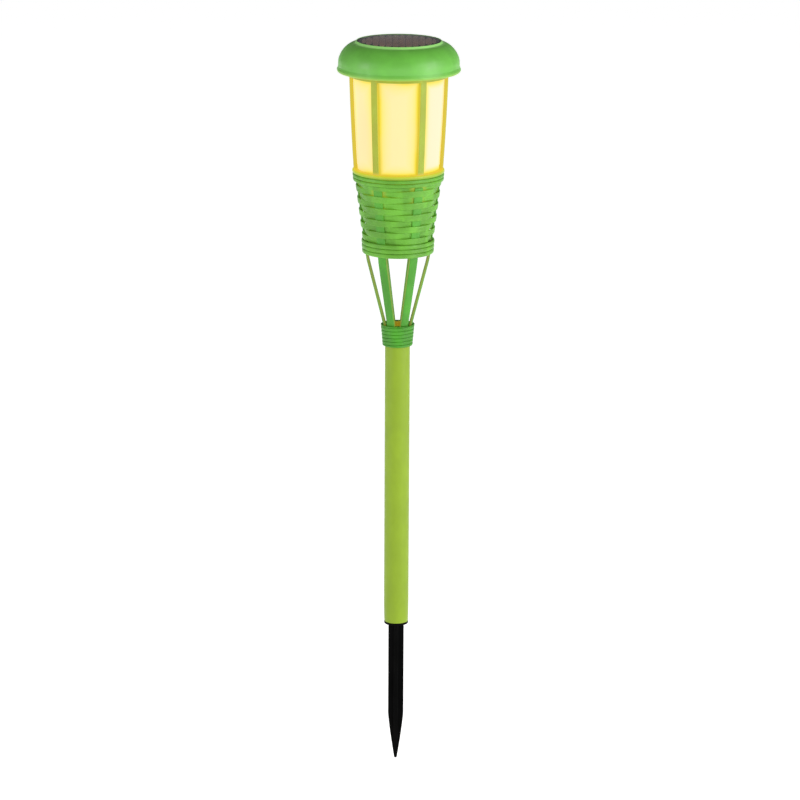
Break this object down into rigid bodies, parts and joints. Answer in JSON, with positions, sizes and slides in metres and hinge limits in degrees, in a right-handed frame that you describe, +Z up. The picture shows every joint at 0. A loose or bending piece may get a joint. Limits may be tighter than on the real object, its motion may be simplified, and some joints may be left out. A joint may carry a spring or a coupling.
{
  "type": "tiki torch",
  "caption": "Solar tiki torch: lit lantern with a domed solar cap over a woven basket on struts, a tube pole and a ground stake.",
  "frame": {"origin": "on the pole's axis at ground level, on the underside of the stake's flange", "axes": "+Z up along the pole towards the cap; -Y is the front, midway between two struts"},
  "size_m": [0.1072, 0.1072, 0.655],
  "materials": {
    "black_plastic": "fine satin",
    "lime_plastic": "satin",
    "green_plastic": "satin",
    "green_reed": "satin, drawn strip",
    "cap_plastic": "fine moulded texture",
    "frosted_plastic": "frosted, lit from inside",
    "black_rubber": "matt",
    "board_green": "solder mask",
    "solar_cell": "dark cell strips",
    "clear_resin": "clear, slightly hazed",
    "wire_red": "insulation",
    "wire_black": "insulation",
    "inner_plastic": "fine moulded texture",
    "screw_steel": "zinc plated",
    "white_plastic": "bright white",
    "led_resin": "warm lens",
    "part_black": "moulded",
    "switch_plastic": "moulded",
    "battery_wrap": "shrink sleeve",
    "contact_metal": "nickel plated"
  },
  "bodies": {
    "stake": {"ground_stake": "black_plastic"},
    "pole": {"pole_tube": "lime_plastic"},
    "head": {"collar_core": "green_plastic", "collar_wraps": "green_reed", "strut_1": "green_plastic", "strut_2": "green_plastic", "strut_3": "green_plastic", "strut_4": "green_plastic", "strut_5": "green_plastic", "strut_6": "green_plastic", "floor_hoop": "green_plastic", "bottom_reed_1": "green_reed", "bottom_reed_2": "green_reed", "bottom_reed_3": "green_reed", "weave_row_1": "green_reed", "weave_row_2": "green_reed", "weave_row_3": "green_reed", "weave_row_4": "green_reed", "weave_row_5": "green_reed", "weave_row_6": "green_reed", "weave_row_7": "green_reed", "weave_row_8": "green_reed", "weave_row_9": "green_reed", "weave_row_10": "green_reed", "top_reed_1": "green_reed", "top_reed_2": "green_reed", "top_reed_3": "green_reed", "lantern_cage": "green_plastic", "diffuser": "frosted_plastic"},
    "cap": {"cap_shell": "cap_plastic", "panel_gasket": "black_rubber", "panel_board": "board_green", "solar_cells": "solar_cell", "panel_cover": "clear_resin", "panel_leads": "wire_red", "base_plate": "inner_plastic", "cap_seal": "black_rubber", "base_screws": "screw_steel", "reflector": "white_plastic", "led_lamp": "led_resin", "circuit_board": "board_green", "board_screws": "screw_steel", "board_parts": "part_black", "switch_housing": "part_black", "battery_tray": "inner_plastic", "battery_cell": "battery_wrap", "battery_spring": "contact_metal", "battery_contact": "contact_metal", "battery_leads": "wire_black", "battery_door": "inner_plastic", "door_screws": "screw_steel"},
    "switch": {"switch_knob": "switch_plastic"}
  },
  "joints": [
    {"name": "pole_lift", "type": "slide", "parent": "stake", "child": "pole", "axis": [0, 0, 1], "range_m": [0, 0.034]},
    {"name": "head_lift", "type": "slide", "parent": "pole", "child": "head", "axis": [0, 0, 1], "range_m": [0, 0.034]},
    {"name": "cap_twist", "type": "hinge", "parent": "head", "child": "cap", "pos_m": [0, 0, 0.5], "axis": [0, 0, 1], "range_deg": [0, 22]},
    {"name": "switch_slide", "type": "slide", "parent": "cap", "child": "switch", "axis": [1, 0, 0], "range_m": [0, 0.003]}
  ]
}
